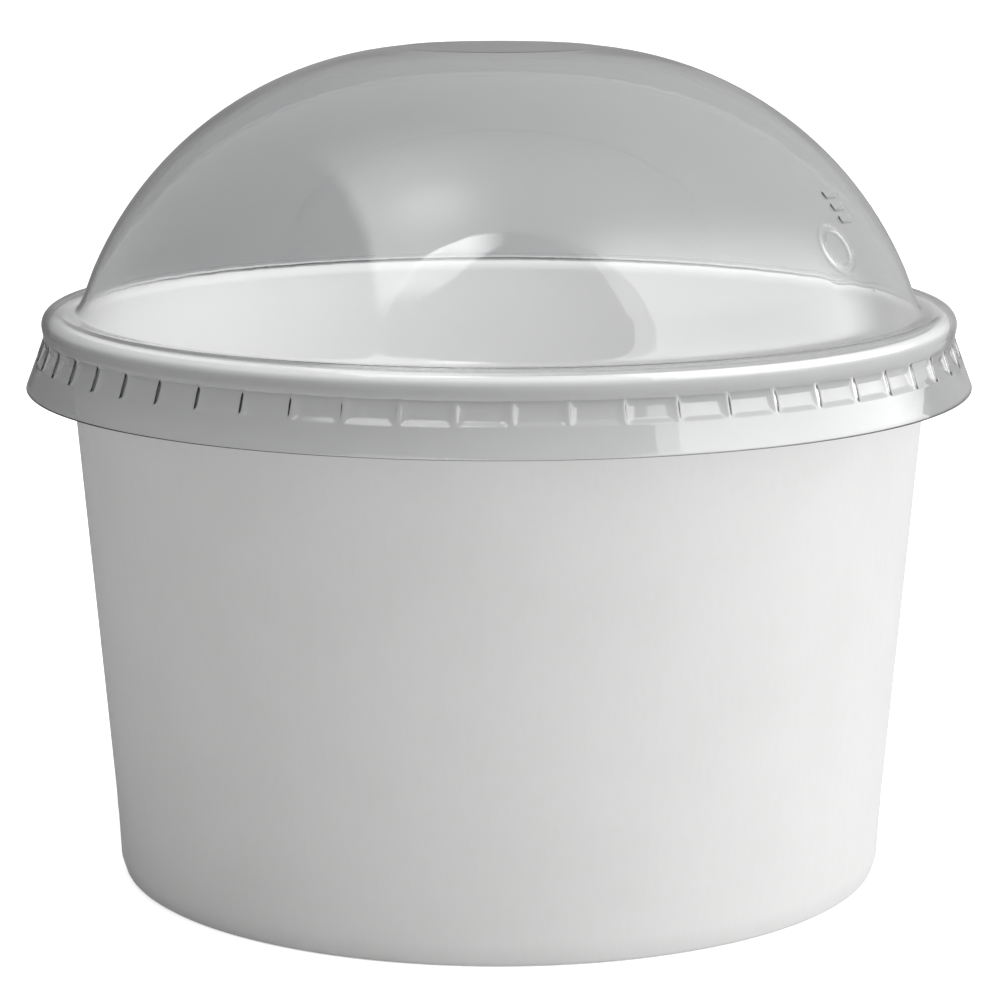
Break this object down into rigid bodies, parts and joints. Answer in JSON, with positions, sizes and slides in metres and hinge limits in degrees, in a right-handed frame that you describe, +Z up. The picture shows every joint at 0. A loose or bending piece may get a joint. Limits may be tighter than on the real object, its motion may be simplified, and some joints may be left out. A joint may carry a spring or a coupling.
{
  "type": "paper tub with dome lid",
  "caption": "Round white paper tub for ice cream or soup, with a rolled rim, a recessed bottom and a clear dome lid with a flared skirt.",
  "frame": {"origin": "centre of the foot circle on the plane the tub stands on", "axes": "+Z up along the axis of the tub, -Y towards the side shown in the picture"},
  "size_m": [0.1, 0.1, 0.0875],
  "materials": {
    "paper": "smooth white coated paperboard",
    "base_paper": "smooth white coated paperboard",
    "clear_plastic": "thin clear glossy plastic film"
  },
  "bodies": {
    "root": {"cup_wall": "paper", "cup_base": "base_paper", "dome_lid": "clear_plastic"}
  },
  "joints": []
}
